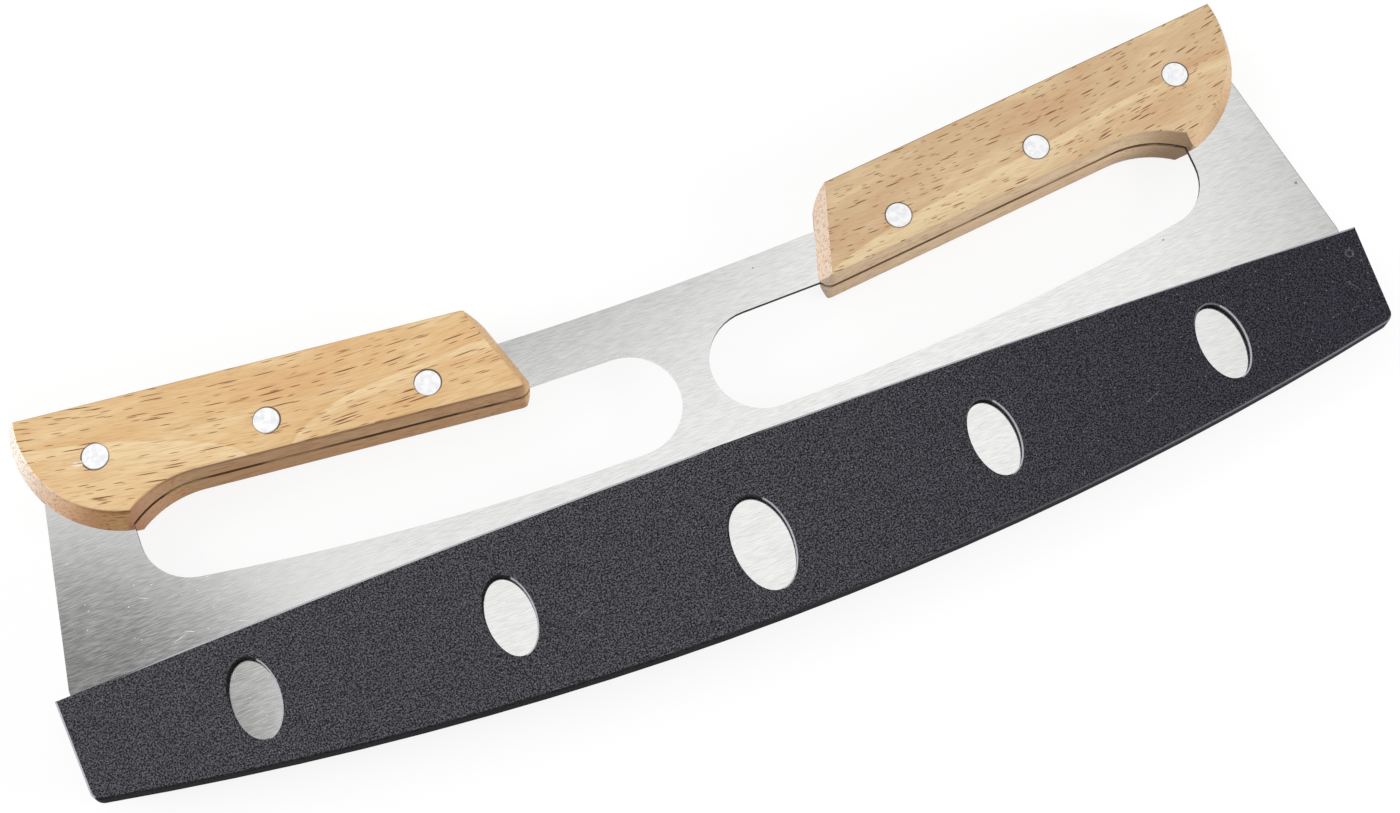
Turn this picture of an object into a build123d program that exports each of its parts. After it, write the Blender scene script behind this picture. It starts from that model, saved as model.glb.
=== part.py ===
"""A two-handed rocking pizza knife in its blade guard, lying on the rear faces of its wooden grips.

x runs along the blade, y from the cutting edge up to the grips, and z out of the front face.
The origin is the middle of the whole object's box, at the height of the flat rear faces.
Places on the blade are measured from the lowest point of the cutting edge, and places on a grip
from its middle rivet, along the grip and across it. All sizes are in millimetres.
"""
import os
from math import atan2, cos, degrees, hypot, radians, sin, sqrt, tan

from build123d import *

os.makedirs("parts", exist_ok=True)

# Blade: a flat plate with a rocking edge, leaning sides and a strap along its top
blade_width = 356.0
blade_thickness = 1.5
edge_radius = 935.0
edge_corner_radius = 5.0
edge_land = 0.3
grind_width = 4.0
shoulder_height = 44.5
neck_inset = 10.1
neck_height = 106.0
strap_top_height = 93.0
strap_top_rise = 1.2
strap_bottom_rise = 0.6

# Hand holes: a round end beside the middle post, and a smaller round end under the lobe
post_width = 9.5
inner_end_radius = 14.1
inner_end_height = 65.2
outer_end_radius = 13.8
outer_end_height = 74.9
outer_end_inset = 28.2

# Grips: outline against the blade, about the middle rivet, which lies inwards from the blade's side
grip_inset = 69.1
grip_height = 92.45
strap_end_reach = 58.9
grip_tilt = 5.8
grip_depth = 24.7
grip_above_rivets = 16.6
inner_end_reach = 59.3
inner_end_rake = 23.4
lobe_center_reach = 34.6
lobe_center_rise = 14.1
lobe_radius = 32.0
finger_curve_reach = 20.4
finger_curve_radius = 28.0
inner_top_radius = 6.5
inner_bottom_radius = 3.0
outer_top_radius = 1.5
lobe_tip_radius = 3.0
scale_thickness = 8.25
scale_end_slant = 3.0
scale_edge_round = 0.5
tang_recess = 0.5

# Rivets: a solid pin driven into a hollow sleeve, each with a flush round head
inner_rivet_reach = 42.7
inner_rivet_drop = 0.9
outer_rivet_reach = 44.5
outer_rivet_rise = 1.9
head_diameter = 7.0
head_thickness = 1.5
head_rim_chamfer = 0.15
head_clearance = 0.1
sleeve_diameter = 4.0
sleeve_length = 11.0
pin_diameter = 2.8
pin_length = 12.5
pin_point_chamfer = 0.4
pin_clearance = 0.04
rivet_hole_clearance = 0.1

# Guard: a moulded channel over the cutting edge, with a row of oval windows
guard_top_overhang = 3.9
guard_foot_overhang = 1.15
guard_end_height = 42.6
guard_middle_height = 46.1
guard_wall = 1.5
guard_end_wall = 1.6
guard_floor = 2.0
guard_side_gap = 0.45
edge_gap = 0.5
guard_corner_radius = 3.0
guard_edge_round = 0.6
window_pitch = 67.3
middle_window_width = 15.7
middle_window_length = 26.2
middle_window_height = 17.4
side_window_width = 12.6
side_window_length = 21.8
inner_window_height = 22.4
outer_window_height = 25.35
window_bevel = 0.4
grip_rib_width = 1.2
grip_rib_clearance = 0.1
grip_rib_lead_in = 3.0
grip_rib_foot_height = 12.0

# Cuts run this far past the faces that they open
overrun = 2.0

sides = {"left": -1, "right": 1}
blade_reach = blade_width / 2
neck_reach = blade_reach - neck_inset
grip_reach = blade_reach - grip_inset
strap_reach = grip_reach - strap_end_reach
outer_end_reach = blade_reach - outer_end_inset
guard_top_reach = blade_reach + guard_top_overhang
guard_foot_reach = blade_reach + guard_foot_overhang
tang_z = scale_thickness
front_scale_z = tang_z + blade_thickness
front_z = front_scale_z + scale_thickness
guard_depth = blade_thickness + 2 * guard_side_gap + 2 * guard_wall
guard_z = tang_z - guard_side_gap - guard_wall
guard_bottom = -(edge_gap + guard_floor)

# Corners and centres of the grip's outline
grip_foot = grip_above_rivets - grip_depth
inner_top = (-inner_end_reach, grip_above_rivets)
inner_bottom = (-inner_end_reach - grip_depth * tan(radians(inner_end_rake)), grip_foot)
lobe_center = (lobe_center_reach, lobe_center_rise)
finger_center = (finger_curve_reach, grip_foot - finger_curve_radius)


def circles_meet(center_a, radius_a, center_b, radius_b):
    """Where two circles cross, to the left of the way from the first centre to the second."""
    dx = center_b[0] - center_a[0]
    dy = center_b[1] - center_a[1]
    apart = hypot(dx, dy)
    along = (radius_a**2 - radius_b**2 + apart**2) / (2 * apart)
    across = sqrt(radius_a**2 - along**2)
    return (
        center_a[0] + (along * dx - across * dy) / apart,
        center_a[1] + (along * dy + across * dx) / apart,
    )


def angle_from(center, point):
    """Direction from a centre to a point, in degrees."""
    return degrees(atan2(point[1] - center[1], point[0] - center[0]))


def grip_outline():
    """A grip from the front: parallel edges, a raked inner end, a finger curve and a round lobe."""
    top_reach = sqrt(lobe_radius**2 - (grip_above_rivets - lobe_center_rise) ** 2)
    outer_top = (lobe_center_reach + top_reach, grip_above_rivets)
    lobe_tip = circles_meet(lobe_center, lobe_radius, finger_center, finger_curve_radius)
    finger_end = angle_from(finger_center, lobe_tip)
    lobe_start = angle_from(lobe_center, lobe_tip)
    lobe_end = angle_from(lobe_center, outer_top)
    with BuildSketch() as outline:
        with BuildLine():
            Polyline(outer_top, inner_top, inner_bottom, (finger_curve_reach, grip_foot))
            CenterArc(finger_center, finger_curve_radius, 90, finger_end - 90)
            CenterArc(lobe_center, lobe_radius, lobe_start, lobe_end - lobe_start)
        make_face()
        for corner, radius in (
            (inner_top, inner_top_radius),
            (inner_bottom, inner_bottom_radius),
            (outer_top, outer_top_radius),
            (lobe_tip, lobe_tip_radius),
        ):
            fillet(outline.vertices().sort_by_distance(corner)[0], radius)
    return outline.sketch


def on_knife(along, across):
    """A place on the right grip, given from its middle rivet, as a place on the blade."""
    turn = radians(grip_tilt)
    return (
        grip_reach + along * cos(turn) - across * sin(turn),
        grip_height + along * sin(turn) + across * cos(turn),
    )


grip = grip_outline()
grip_top = (Location((grip_reach, grip_height, 0), (0, 0, grip_tilt)) * grip).bounding_box().max.Y
edge_y = -(grip_top + guard_bottom) / 2
rivet_places = {
    "inner": on_knife(-inner_rivet_reach, -inner_rivet_drop),
    "middle": on_knife(0, 0),
    "outer": on_knife(outer_rivet_reach, outer_rivet_rise),
}


def knife_plane(height):
    """The plane in which the blade is drawn, at a height above the rear faces."""
    return Plane((0, edge_y, height))


def finish(piece, name):
    """Labels a finished piece and writes it."""
    piece.label = name
    export_step(piece, f"parts/{name}.step")


# Hand holes, open at the top where the tangs close them
strap_bottom_height = inner_end_height + inner_end_radius
inner_end_center = (post_width / 2 + inner_end_radius, inner_end_height)
outer_end_center = (outer_end_reach - outer_end_radius, outer_end_height)
hole_foot = inner_end_height - inner_end_radius
hole_span = outer_end_center[0] - inner_end_center[0]
foot_drop = hole_foot - outer_end_height
# The long lower edge is the one arc that touches both round ends
foot_to_top = 2 * (foot_drop + outer_end_radius)
lower_edge_radius = (outer_end_radius**2 - hole_span**2 - foot_drop**2) / foot_to_top
lower_edge_center = (inner_end_center[0], hole_foot + lower_edge_radius)
reach_share = lower_edge_radius / (lower_edge_radius - outer_end_radius)
lower_edge_end = (
    lower_edge_center[0] + (outer_end_center[0] - lower_edge_center[0]) * reach_share,
    lower_edge_center[1] + (outer_end_center[1] - lower_edge_center[1]) * reach_share,
)

with BuildSketch() as hand_holes:
    with BuildLine():
        inner_end = CenterArc(inner_end_center, inner_end_radius, 90, 180)
        lower_edge = TangentArc(inner_end @ 1, lower_edge_end, tangent=(1, 0))
        outer_end_side = (outer_end_reach, outer_end_height)
        outer_end = TangentArc(lower_edge @ 1, outer_end_side, tangent=lower_edge % 1)
        Polyline(
            outer_end @ 1,
            (outer_end_reach, rivet_places["outer"][1]),
            rivet_places["middle"],
            rivet_places["inner"],
            (strap_reach, strap_bottom_height + strap_bottom_rise),
            inner_end @ 0,
        )
    make_face()
    mirror(about=Plane.YZ)

with BuildSketch() as tangs:
    with Locations(Location((grip_reach, grip_height, 0), (0, 0, grip_tilt))):
        add(offset(grip, amount=-tang_recess, mode=Mode.PRIVATE))
    mirror(about=Plane.YZ)

edge_end_height = edge_radius - sqrt(edge_radius**2 - blade_reach**2)
edge_ends = [(side * blade_reach, edge_end_height) for side in sides.values()]
strap_end = (strap_reach, strap_top_height + strap_top_rise)

with BuildPart() as blade:
    with BuildSketch(knife_plane(tang_z)) as plate:
        with BuildLine():
            edge = ThreePointArc(edge_ends[0], (0, 0), edge_ends[1])
            ThreePointArc((-strap_end[0], strap_end[1]), (0, strap_top_height), strap_end)
            Polyline(
                edge @ 1,
                (blade_reach, shoulder_height),
                (neck_reach, neck_height),
                strap_end,
            )
            Polyline(
                edge @ 0,
                (-blade_reach, shoulder_height),
                (-neck_reach, neck_height),
                (-strap_end[0], strap_end[1]),
            )
        make_face()
        fillet(plate.vertices().group_by(Axis.Y)[0], edge_corner_radius)
        add(hand_holes.sketch, mode=Mode.SUBTRACT)
        add(tangs.sketch)
        for side in sides.values():
            with Locations(*[(side * x, y) for x, y in rivet_places.values()]):
                Circle((sleeve_diameter + rivet_hole_clearance) / 2, mode=Mode.SUBTRACT)
    extrude(amount=blade_thickness)
    # The grind is a shallow cone on each face, turned about the centre of the rocking edge
    bevel_slope = (blade_thickness - edge_land) / 2 / grind_width
    with BuildSketch(Plane.YZ) as bevels:
        for face_z, out in ((tang_z, -1), (front_scale_z, 1)):
            land_z = face_z - out * (blade_thickness - edge_land) / 2
            with BuildLine():
                Polyline(
                    (edge_y + grind_width, face_z),
                    (edge_y - overrun, land_z - out * bevel_slope * overrun),
                    (edge_y - overrun, face_z + out * overrun),
                    (edge_y + grind_width, face_z + out * overrun),
                    close=True,
                )
            make_face()
    revolve(axis=Axis((0, edge_y + edge_radius, 0), (0, 0, 1)), mode=Mode.SUBTRACT)
finish(blade.part, "blade")

# A wooden scale at the right front: flat on the tang, with both its ends slanting in to its face
along_grip = Vector(1, 0, 0).rotate(Axis.Z, grip_tilt)
across_grip = Vector(0, 1, 0).rotate(Axis.Z, grip_tilt)
grip_plane = Plane((grip_reach, edge_y + grip_height, front_scale_z), x_dir=along_grip)
inner_end_out = -along_grip.rotate(Axis.Z, -inner_end_rake)
inner_end_slant = inner_end_out * scale_thickness + Vector(0, 0, scale_end_slant)
inner_end_plane = Plane(grip_plane.from_local_coords(inner_top), z_dir=inner_end_slant)
lobe_origin = grip_plane.from_local_coords(lobe_center)
slant_share = scale_end_slant / scale_thickness

with BuildPart() as scale_form:
    with BuildSketch(grip_plane):
        add(grip)
    extrude(amount=scale_thickness)
    split(bisect_by=inner_end_plane, keep=Keep.BOTTOM)
    # The lobe's wall is a cone about its centre, cut from above the grip round to the finger curve
    with BuildSketch(Plane(lobe_origin, x_dir=across_grip, z_dir=along_grip)):
        with BuildLine():
            Polyline(
                (lobe_radius + slant_share * overrun, -overrun),
                (lobe_radius - slant_share * (scale_thickness + overrun), scale_thickness + overrun),
                (lobe_radius + overrun, scale_thickness + overrun),
                (lobe_radius + overrun, -overrun),
                close=True,
            )
        make_face()
    revolve(
        axis=Axis(lobe_origin, (0, 0, -1)),
        revolution_arc=90 - angle_from(lobe_center, finger_center),
        mode=Mode.SUBTRACT,
    )
    fillet(scale_form.faces().sort_by(Axis.Z)[-1].edges(), scale_edge_round)

# Four such scales, mirrored across the knife and through the blade, with a seat for each rivet head
for side_name, side in sides.items():
    for face_name, face_z, turned in (("rear", 0, (180, 0, 0)), ("front", front_z, (0, 0, 0))):
        with BuildPart() as scale:
            add(scale_form.part)
            if side_name == "left":
                mirror(about=Plane.YZ, mode=Mode.REPLACE)
            if face_name == "rear":
                mirror(about=Plane.XY.offset(front_z / 2), mode=Mode.REPLACE)
            seats = [
                Location((side * x, edge_y + y, face_z), turned)
                for x, y in rivet_places.values()
            ]
            with Locations(*seats):
                CounterBoreHole(
                    radius=(sleeve_diameter + rivet_hole_clearance) / 2,
                    counter_bore_radius=(head_diameter + head_clearance) / 2,
                    counter_bore_depth=head_thickness,
                    depth=scale_thickness,
                )
        finish(scale.part, f"{side_name}_{face_name}_scale")

# Six rivets: the sleeve comes up from the rear face, and the pin goes down into it from the front
for side_name, side in sides.items():
    for place_name, (x, y) in rivet_places.items():
        with BuildPart() as pin:
            with BuildSketch(Plane((side * x, edge_y + y, front_z))):
                Circle(head_diameter / 2)
            extrude(amount=-head_thickness)
            chamfer(pin.edges().group_by(Axis.Z)[-1], head_rim_chamfer)
            with BuildSketch(Plane((side * x, edge_y + y, front_z - head_thickness))):
                Circle(pin_diameter / 2)
            extrude(amount=-pin_length)
            chamfer(pin.edges().group_by(Axis.Z)[0], pin_point_chamfer)
        finish(pin.part, f"{side_name}_{place_name}_rivet_pin")

        with BuildPart() as sleeve:
            with BuildSketch(Plane((side * x, edge_y + y, 0))):
                Circle(head_diameter / 2)
            extrude(amount=head_thickness)
            chamfer(sleeve.edges().group_by(Axis.Z)[0], head_rim_chamfer)
            with BuildSketch(Plane((side * x, edge_y + y, head_thickness))):
                Circle(sleeve_diameter / 2)
                Circle(pin_diameter / 2 + pin_clearance, mode=Mode.SUBTRACT)
            extrude(amount=sleeve_length)
        finish(sleeve.part, f"{side_name}_{place_name}_rivet_sleeve")


def guard_outline(end_inset, floor_inset, top_height, corner_radius):
    """The guard from the front: leaning ends between the rocking edge below and a height above."""
    lean = (guard_top_reach - guard_foot_reach) / guard_end_height
    reach = edge_radius - guard_bottom - floor_inset

    def end_at(height):
        return guard_foot_reach + lean * height - end_inset

    with BuildSketch() as outline:
        Polygon(
            (-end_at(guard_bottom), guard_bottom),
            (end_at(guard_bottom), guard_bottom),
            (end_at(top_height), top_height),
            (-end_at(top_height), top_height),
            align=None,
        )
        with Locations((0, edge_radius)):
            Circle(reach, mode=Mode.INTERSECT)
        corners = outline.vertices().sort_by(Axis.Y)[:2]
        fillet(corners, corner_radius)
    return outline.sketch


# The top edge is bowed: the one arc through the middle and both ends
bow = guard_middle_height - guard_end_height
bow_radius = (guard_top_reach**2 + bow**2) / (2 * bow)
cavity_depth = guard_depth - 2 * guard_wall
rib_height = guard_side_gap - grip_rib_clearance
window_table = [
    (0, middle_window_height, middle_window_width, middle_window_length),
    (window_pitch, inner_window_height, side_window_width, side_window_length),
    (-window_pitch, inner_window_height, side_window_width, side_window_length),
    (2 * window_pitch, outer_window_height, side_window_width, side_window_length),
    (-2 * window_pitch, outer_window_height, side_window_width, side_window_length),
]

with BuildPart() as blade_guard:
    with BuildSketch(knife_plane(guard_z)):
        add(guard_outline(0, 0, guard_middle_height, guard_corner_radius))
        with Locations((0, guard_middle_height - bow_radius)):
            Circle(bow_radius, mode=Mode.INTERSECT)
    extrude(amount=guard_depth)
    fillet(blade_guard.faces().filter_by(Plane.XY).edges(), guard_edge_round)
    with BuildSketch(knife_plane(guard_z + guard_wall)):
        add(
            guard_outline(
                guard_end_wall,
                guard_floor,
                guard_middle_height + overrun,
                guard_corner_radius - guard_end_wall,
            )
        )
    extrude(amount=cavity_depth, mode=Mode.SUBTRACT)
    # Grip ribs on the inside of both walls, midway between the windows
    for wall_z, out in ((guard_z + guard_wall, 1), (guard_z + guard_wall + cavity_depth, -1)):
        with BuildSketch(knife_plane(wall_z)):
            for share in (-3, -1, 1, 3):
                rib_top = guard_end_height - grip_rib_lead_in
                with Locations((share * window_pitch / 2, (grip_rib_foot_height + rib_top) / 2)):
                    Rectangle(grip_rib_width, rib_top - grip_rib_foot_height)
        extrude(amount=out * rib_height)
    with BuildSketch(knife_plane(guard_z)):
        for x, y, width, length in window_table:
            with Locations((x, y)):
                Ellipse(width / 2, length / 2)
    extrude(amount=guard_depth, mode=Mode.SUBTRACT)
    rims = blade_guard.edges().filter_by(GeomType.ELLIPSE)
    chamfer(rims.group_by(Axis.Z)[0] + rims.group_by(Axis.Z)[-1], window_bevel)
finish(blade_guard.part, "blade_guard")
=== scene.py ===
"""Looks of a two-handed rocking pizza knife: rubberwood grips, brushed blade and moulded guard.

Everything is in metres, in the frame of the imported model: x runs along the blade, y from the edge to
the grips and z out of the front face. The knife lies on the rear faces of its grips. Patterns are laid
out in millimetres, because their sizes come from the real surfaces.
"""

from math import cos, e, radians, sin

import bpy
import numpy as np
from mathutils import Matrix, Vector


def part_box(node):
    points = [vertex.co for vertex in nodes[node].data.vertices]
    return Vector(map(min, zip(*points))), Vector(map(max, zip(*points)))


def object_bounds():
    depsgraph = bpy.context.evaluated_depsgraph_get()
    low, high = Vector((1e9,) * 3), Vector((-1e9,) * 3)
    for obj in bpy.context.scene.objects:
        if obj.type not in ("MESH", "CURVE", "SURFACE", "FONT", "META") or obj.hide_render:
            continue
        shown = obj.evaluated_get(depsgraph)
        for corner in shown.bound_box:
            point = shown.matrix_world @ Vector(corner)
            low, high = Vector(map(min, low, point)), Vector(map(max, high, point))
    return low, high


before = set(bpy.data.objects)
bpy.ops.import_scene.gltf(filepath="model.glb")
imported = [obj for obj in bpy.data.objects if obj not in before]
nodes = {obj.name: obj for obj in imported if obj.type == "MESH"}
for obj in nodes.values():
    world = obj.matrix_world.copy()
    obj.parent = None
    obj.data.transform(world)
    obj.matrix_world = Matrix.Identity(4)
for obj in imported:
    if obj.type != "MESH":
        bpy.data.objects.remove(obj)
cad_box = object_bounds()

MILLIMETRE = 0.001

# Photograph: its width and focal length in pixels, and the fitted camera's angles in degrees and its
# distance, both about the point that it looks at
photo_width = 1400
focal_pixels = 2500
camera_azimuth = -22.67
camera_elevation = 71.08
camera_roll = -22.19
camera_distance = 0.6593
# That point: along the blade from its middle, and above its edge
aim_along = -0.0014
aim_above_edge = 0.0586

# Grips: where each middle rivet is, and how the grain lies
grip_reach = 0.1089
grip_height = 0.09245
grip_tilt = 5.8
# Rivets of a grip in its own millimetres: outwards along it and up across it
rivet_places = ((-42.7, -0.9), (0.0, 0.0), (44.5, 1.9))
rivet_head_radius = 3.5
# How far each seat lies off its rivet, in millimetres along x and y of the grip
rivet_offsets = {
    -1: ((0.1, 0.12), (0.17, 0.0), (-0.1, -0.14)),
    1: ((-0.06, 0.02), (-0.06, 0.0), (0.02, -0.04)),
}

blade_low, blade_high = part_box("blade")
edge_height = blade_low.y
plate_height = (blade_low.z + blade_high.z) / 2
# In millimetres: the same edge, and how high the front faces of the blade and the guard are
edge_line = edge_height / MILLIMETRE
blade_front = blade_high.z / MILLIMETRE
guard_front = 11.7
# From the middle of the blade's thickness, in millimetres: the front faces of a scale and a tang
scale_front = (cad_box[1][2] - plate_height) / MILLIMETRE
tang_front = (blade_high.z - plate_height) / MILLIMETRE


def linear(code):
    """An sRGB hex colour as linear red, green, blue and alpha."""
    srgb = np.array([int(code[i : i + 2], 16) for i in (1, 3, 5)]) / 255
    return (*np.where(srgb <= 0.04045, srgb / 12.92, ((srgb + 0.055) / 1.055) ** 2.4), 1.0)


def plug(tree, value, socket):
    """Gives a socket a value, a named output or another node's first output in use."""
    if isinstance(value, bpy.types.Node):
        value = next(output for output in value.outputs if output.enabled)
    if isinstance(value, bpy.types.NodeSocket):
        tree.links.new(value, socket)
    else:
        socket.default_value = value


def add(tree, kind, inputs=None, **settings):
    """Adds a node with its settings and links. An input is named, or numbered among those in use."""
    node = tree.nodes.new(kind)
    for name, value in settings.items():
        setattr(node, name, value)
    shown = [socket for socket in node.inputs if socket.enabled]
    for name, value in (inputs or {}).items():
        socket = shown[name] if isinstance(name, int) else next(s for s in shown if s.name == name)
        plug(tree, value, socket)
    return node


def new_material(name, metallic=0.0, ior=1.5):
    """An empty material with one Principled shader, its node tree and that shader's inputs."""
    material = bpy.data.materials.new(name)
    material.use_nodes = True
    tree = material.node_tree
    inputs = tree.nodes["Principled BSDF"].inputs
    inputs["Metallic"].default_value = metallic
    inputs["IOR"].default_value = ior
    return material, tree, inputs


def places_in_millimetres(tree, origin=(0, 0, 0), turn=0.0):
    """Places on a piece in millimetres, from an origin in metres and turned about z by degrees."""
    return add(
        tree,
        "ShaderNodeMapping",
        {
            "Vector": add(tree, "ShaderNodeTexCoord").outputs["Object"],
            "Location": origin,
            "Rotation": (0, 0, radians(turn)),
            "Scale": (MILLIMETRE, MILLIMETRE, MILLIMETRE),
        },
        vector_type="TEXTURE",
    )


def rare_marks(tree, place, kinds, core):
    """Masks of marks that few cells of a pattern have.

    Each kind of mark has its turn in degrees, its cell in millimetres, its reach in cells and the share
    of cells without one. It is full as far as its core, a share of its reach.
    """
    marks = []
    for turn, cell, reach, without in kinds:
        cells = add(
            tree,
            "ShaderNodeMapping",
            {"Vector": place, "Rotation": (0, 0, radians(turn)), "Scale": cell},
            vector_type="TEXTURE",
        )
        cells = add(
            tree,
            "ShaderNodeTexVoronoi",
            {"Vector": cells, "Scale": 1.0},
            voronoi_dimensions="2D",
        )
        chance = add(tree, "ShaderNodeSeparateXYZ", {"Vector": cells.outputs["Color"]})
        present = add(
            tree,
            "ShaderNodeMath",
            {0: chance.outputs["X"], 1: without},
            operation="GREATER_THAN",
        )
        mark = add(
            tree,
            "ShaderNodeMapRange",
            {
                "Value": cells.outputs["Distance"],
                "From Min": reach * core,
                "From Max": reach,
                "To Min": 1.0,
                "To Max": 0.0,
            },
        )
        marks.append(add(tree, "ShaderNodeMath", {0: mark, 1: present}, operation="MULTIPLY"))
    return marks


def ring_colours(tree, waved, tongue, pale, golden, blush):
    """A growth ring that the slanting cut shows as two pale tongues with a golden neck between them.

    Their border is where height is the notch's height plus the steepness times the logarithm of the
    distance from the notch. The tongue holds where the notch is along the grip and up it, and the
    steepness.
    """
    notch_place, notch_height, steepness = tongue
    # The distance is in neck widths, and the border stops falling close to the notch
    neck_width = 6.0
    nearest = 0.3
    # How far the ring leans back into the wood
    lean = -1.2
    coordinates = add(tree, "ShaderNodeSeparateXYZ", {"Vector": waved})
    along = add(
        tree,
        "ShaderNodeMath",
        {0: coordinates.outputs["X"], 1: notch_place},
        operation="SUBTRACT",
    )
    along = add(tree, "ShaderNodeMath", {0: along}, operation="ABSOLUTE")
    along = add(tree, "ShaderNodeMath", {0: along, 1: neck_width}, operation="DIVIDE")
    along = add(tree, "ShaderNodeMath", {0: along, 1: nearest}, operation="MAXIMUM")
    bend = add(tree, "ShaderNodeMath", {0: along, 1: e}, operation="LOGARITHM")
    leaning = add(
        tree,
        "ShaderNodeMath",
        {0: coordinates.outputs["Z"], 1: lean, 2: coordinates.outputs["Y"]},
        operation="MULTIPLY_ADD",
    )
    bend = add(
        tree,
        "ShaderNodeMath",
        {0: bend, 1: -steepness, 2: leaning},
        operation="MULTIPLY_ADD",
    )
    above = add(tree, "ShaderNodeMath", {0: bend, 1: notch_height}, operation="SUBTRACT")
    inside = add(
        tree,
        "ShaderNodeMapRange",
        {"Value": above, "From Min": -0.5, "From Max": 0.3, "To Min": 1.0, "To Max": 0.0},
        interpolation_type="SMOOTHSTEP",
    )
    fading = add(
        tree,
        "ShaderNodeMapRange",
        {"Value": above, "From Min": -9.0, "From Max": -0.5, "To Min": 0.35, "To Max": 1.0},
        interpolation_type="SMOOTHSTEP",
    )
    tongues = add(tree, "ShaderNodeMath", {0: inside, 1: fading}, operation="MULTIPLY")
    ground = add(
        tree,
        "ShaderNodeMix",
        {"Factor": tongues, "A": linear(golden), "B": linear(pale)},
        data_type="RGBA",
    )
    # A faint brown line lies on the border
    border = add(
        tree,
        "ShaderNodeMapRange",
        {"Value": above, "From Min": 2.4, "From Max": 0.0, "To Min": 0.0, "To Max": 0.4},
        interpolation_type="SMOOTHSTEP",
    )
    beyond = add(tree, "ShaderNodeMath", {0: above, 1: 0.0}, operation="GREATER_THAN")
    border = add(tree, "ShaderNodeMath", {0: border, 1: beyond}, operation="MULTIPLY")
    ground = add(
        tree,
        "ShaderNodeMix",
        {"Factor": border, "A": ground, "B": linear(blush)},
        data_type="RGBA",
    )
    return ground


def patch_colours(tree, ground, waved, pale, blush):
    """Patches some 25 mm long that are redder, and others that are paler."""
    patches = add(
        tree,
        "ShaderNodeMapping",
        {"Vector": waved, "Location": (3, 1, 5), "Scale": (26, 7, 8)},
        vector_type="TEXTURE",
    )
    patches = add(tree, "ShaderNodeTexNoise", {"Vector": patches, "Scale": 1.0, "Detail": 3.0})
    reddened = add(
        tree,
        "ShaderNodeMapRange",
        {"Value": patches, "From Min": 0.48, "From Max": 0.7, "To Min": 0.0, "To Max": 0.6},
        interpolation_type="SMOOTHSTEP",
    )
    ground = add(
        tree,
        "ShaderNodeMix",
        {"Factor": reddened, "A": ground, "B": linear(blush)},
        data_type="RGBA",
    )
    lightened = add(
        tree,
        "ShaderNodeMapRange",
        {"Value": patches, "From Min": 0.3, "From Max": 0.5, "To Min": 0.7, "To Max": 0.0},
        interpolation_type="SMOOTHSTEP",
    )
    ground = add(
        tree,
        "ShaderNodeMix",
        {"Factor": lightened, "A": ground, "B": linear(pale)},
        data_type="RGBA",
    )
    return ground


def vessel_dashes(tree, coloured, fibre_place, crowds, dash_length):
    """Vessels that are cut open: fine brown dashes along the grain.

    The dash length is a share of a vessel's own length. Gives the colours, and masks of the dashes.
    """
    dashes = []
    # Long and short vessels: cell in mm, widest dash in cells, share of cells that have one, darkness
    for (length, width, depth), widest, share, darkness in (
        ((17.0, 0.76, 1.2), 0.25, 0.70, 1.0),
        ((7.0, 0.56, 0.9), 0.26, 0.67, 0.9),
    ):
        cells = add(
            tree,
            "ShaderNodeMapping",
            {
                "Vector": fibre_place,
                "Location": (length, 0, 0),
                "Scale": (length * dash_length, width, depth),
            },
            vector_type="TEXTURE",
        )
        cells = add(tree, "ShaderNodeTexVoronoi", {"Vector": cells, "Scale": 1.0})
        chance = add(tree, "ShaderNodeSeparateXYZ", {"Vector": cells.outputs["Color"]})
        chance = add(
            tree,
            "ShaderNodeMath",
            {0: crowds, 1: -0.9, 2: chance.outputs["X"]},
            operation="MULTIPLY_ADD",
        )
        present = add(
            tree,
            "ShaderNodeMapRange",
            {
                "Value": chance,
                "From Min": share - 0.6,
                "From Max": share - 0.45,
                "To Min": 1.0,
                "To Max": 0.0,
            },
        )
        dash = add(
            tree,
            "ShaderNodeMapRange",
            {
                "Value": cells.outputs["Distance"],
                "From Min": widest * 0.6,
                "From Max": widest,
                "To Min": darkness,
                "To Max": 0.0,
            },
            interpolation_type="SMOOTHSTEP",
        )
        dash = add(tree, "ShaderNodeMath", {0: dash, 1: present}, operation="MULTIPLY")
        dashes.append(dash)
        coloured = add(
            tree,
            "ShaderNodeMix",
            {"Factor": dash, "A": coloured, "B": linear("#7d4a20")},
            data_type="RGBA",
        )
    return coloured, dashes


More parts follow.
